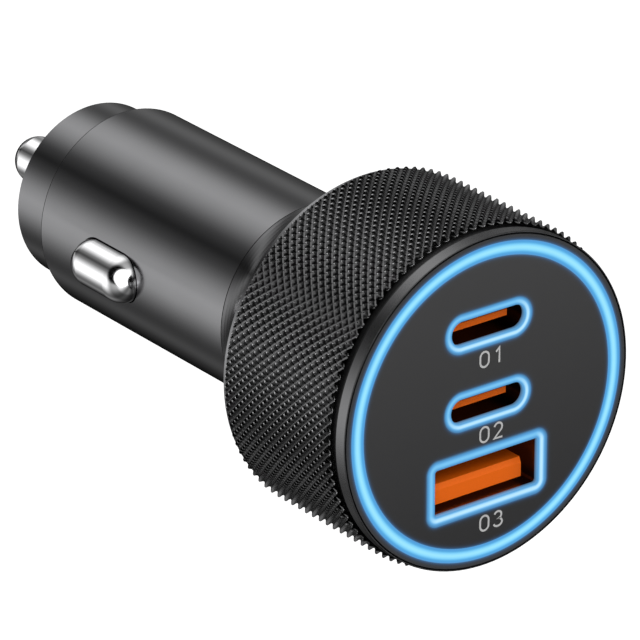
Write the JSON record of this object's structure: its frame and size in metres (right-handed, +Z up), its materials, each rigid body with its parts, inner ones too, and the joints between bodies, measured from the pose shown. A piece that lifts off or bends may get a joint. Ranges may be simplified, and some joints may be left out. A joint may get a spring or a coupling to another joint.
{
  "type": "car socket charger",
  "caption": "Car socket charger with a knurled round head, lit ring, lit port frames, sprung side contacts and a sprung centre pin.",
  "frame": {"origin": "on the plug's axis, at the head end of the barrel's straight wall", "axes": "+Y along the plug's axis toward the centre pin, so the face with the ports looks toward -Y; +Z up from the wide port toward the small ports; +X to the right of someone who looks at the ports"},
  "size_m": [0.0344, 0.0749, 0.0344],
  "materials": {
    "head_metal": "satin, dark grey",
    "grip_metal": "satin, black, knurled",
    "barrel_metal": "polished, dark grey",
    "nose_plastic": "satin, dark grey",
    "bezel_metal": "satin, dark grey",
    "face_plastic": "matte, dark grey",
    "light_guide": "clear, lit pale blue",
    "contact_chrome": "polished nickel",
    "spring_steel": "plain",
    "brass": "plain",
    "inner_plastic": "matte, black",
    "led_chip": "gloss",
    "circuit_board": "matte, green",
    "port_steel": "plain",
    "tongue_plastic": "satin, orange",
    "gold_contact": "gold plated",
    "coil_core": "matte, dark grey",
    "can": "sleeved",
    "chip_plastic": "matte, black",
    "fuse_body": "matte"
  },
  "bodies": {
    "plug": {"head_shell": "head_metal", "knurled_grip": "grip_metal", "barrel_tube": "barrel_metal", "nose_cap": "nose_plastic", "pin_spring": "spring_steel", "pin_terminal": "brass", "ground_clip": "spring_steel", "board_carrier": "inner_plastic", "bezel": "bezel_metal", "face_plate": "face_plastic", "light_guide": "light_guide", "led_chips": "led_chip", "port_board": "circuit_board", "main_board": "circuit_board", "board_header": "inner_plastic", "usb_a_shell": "port_steel", "usb_a_tongue": "tongue_plastic", "usb_a_contacts": "gold_contact", "usb_c_upper_shell": "port_steel", "usb_c_upper_tongue": "tongue_plastic", "usb_c_upper_contacts": "gold_contact", "usb_c_lower_shell": "port_steel", "usb_c_lower_tongue": "tongue_plastic", "usb_c_lower_contacts": "gold_contact", "inductor": "coil_core", "input_capacitor": "can", "output_capacitor": "can", "controller_chips": "chip_plastic", "fuse": "fuse_body"},
    "pin": {"centre_pin": "contact_chrome"},
    "left_contact": {"side_contact_left": "contact_chrome"},
    "right_contact": {"side_contact_right": "contact_chrome"}
  },
  "joints": [
    {"name": "pin_press", "type": "slide", "parent": "plug", "child": "pin", "axis": [0, -1, 0], "range_m": [0, 0.0032], "stiffness_N_per_m": 1200, "springref_m": -0.002, "deforming": ["pin_spring"]},
    {"name": "left_contact_press", "type": "slide", "parent": "plug", "child": "left_contact", "axis": [1, 0, 0], "range_m": [0, 0.002], "stiffness_N_per_m": 1500, "springref_m": -0.001},
    {"name": "right_contact_press", "type": "slide", "parent": "plug", "child": "right_contact", "axis": [-1, 0, 0], "range_m": [0, 0.002], "stiffness_N_per_m": 1500, "springref_m": -0.001}
  ]
}
